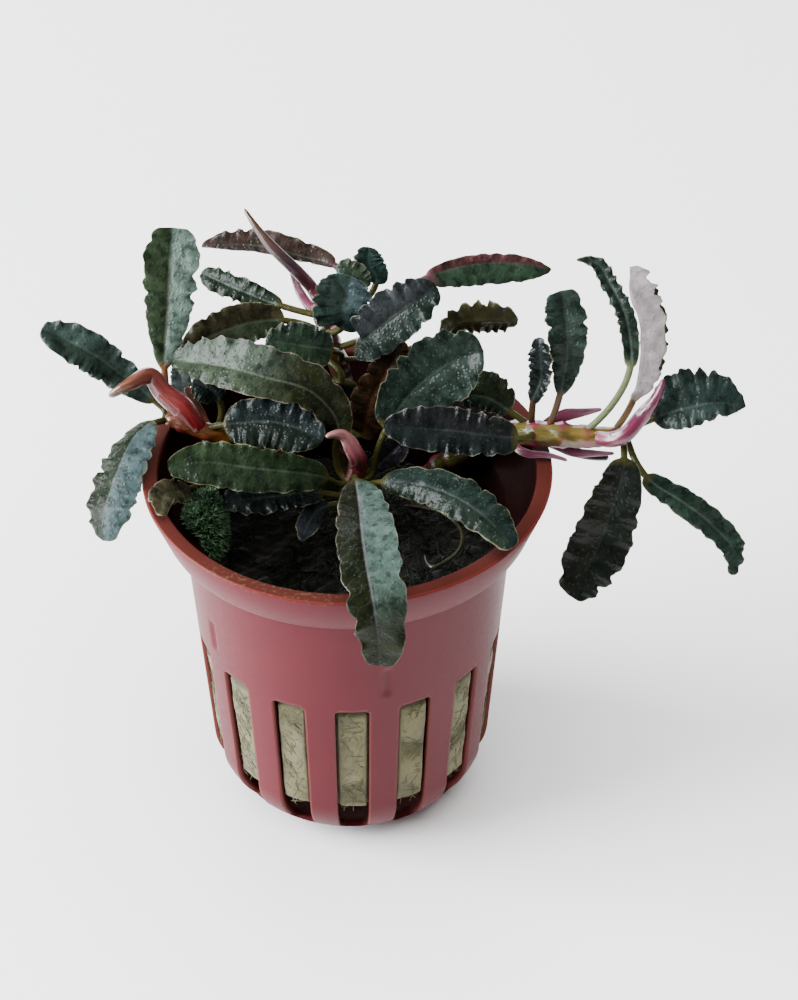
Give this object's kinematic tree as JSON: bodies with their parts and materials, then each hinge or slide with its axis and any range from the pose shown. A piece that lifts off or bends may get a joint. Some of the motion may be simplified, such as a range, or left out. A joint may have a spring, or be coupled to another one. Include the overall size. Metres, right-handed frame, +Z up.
{
  "type": "potted bucephalandra",
  "caption": "Small aquarium plant with wavy dark green leaves on creeping stems, in a slotted plastic net pot filled with rock wool.",
  "frame": {"origin": "middle of the pot's base, on the surface that the pot stands on", "axes": "+Z up along the pot's axis, -Y towards the plant's front, +X towards its right"},
  "size_m": [0.0863, 0.0622, 0.0728],
  "materials": {
    "pot_plastic": "satin moulded plastic, dusty brick red",
    "rock_wool": "matte mineral fibre, wet",
    "moss": "matte fine fronds",
    "stem_olive": "satin",
    "stem_red": "glossy",
    "stem_pink": "glossy",
    "leaf_green": "glossy, wet",
    "leaf_dark": "glossy, wet",
    "leaf_bright": "glossy, wet",
    "leaf_brown": "satin, ageing",
    "leaf_silver": "satin, silvery"
  },
  "bodies": {
    "root": {"net_pot": "pot_plastic", "rock_wool": "rock_wool", "moss_clump": "moss", "left_rhizome": "stem_olive", "centre_rhizome": "stem_olive", "right_rhizome": "stem_olive", "back_rhizome": "stem_olive", "right_old_stalk": "stem_olive", "curly_root": "stem_olive", "left_new_leaf": "stem_red", "centre_new_leaf": "stem_red", "back_new_leaf": "stem_red", "left_bract": "stem_red", "right_new_leaf": "stem_pink", "back_bract": "stem_pink", "right_upper_bract": "stem_pink", "right_lower_bract": "stem_pink", "right_under_bract": "stem_pink", "left_upright_leaf": "leaf_green", "left_far_leaf": "leaf_green", "left_drooping_leaf": "leaf_green", "left_speckled_leaf": "leaf_dark", "left_small_leaf": "leaf_dark", "left_pale_leaf": "leaf_silver", "centre_arching_leaf": "leaf_bright", "centre_left_leaf": "leaf_bright", "centre_under_leaf": "leaf_dark", "old_curled_leaf": "leaf_brown", "centre_front_leaf": "leaf_green", "centre_right_front_leaf": "leaf_green", "centre_broad_leaf": "leaf_green", "centre_purple_leaf": "leaf_dark", "centre_inner_leaf": "leaf_dark", "right_inward_leaf": "leaf_dark", "right_back_leaf": "leaf_green", "right_small_leaf": "leaf_dark", "right_upright_leaf": "leaf_green", "right_curved_leaf": "leaf_green", "right_silver_leaf": "leaf_silver", "right_far_leaf": "leaf_green", "right_lower_leaf": "leaf_green", "right_lower_narrow_leaf": "leaf_green", "back_brown_leaf": "leaf_brown", "back_left_leaf": "leaf_green", "back_olive_leaf": "leaf_brown", "back_tall_leaf": "leaf_green", "back_curled_leaf": "leaf_green", "back_facing_leaf": "leaf_green", "back_broad_leaf": "leaf_dark", "back_dotted_leaf": "leaf_green", "back_hanging_leaf": "leaf_dark", "old_brown_leaf": "leaf_brown", "back_pink_leaf": "leaf_bright", "back_folded_leaf": "leaf_dark"}
  },
  "joints": []
}
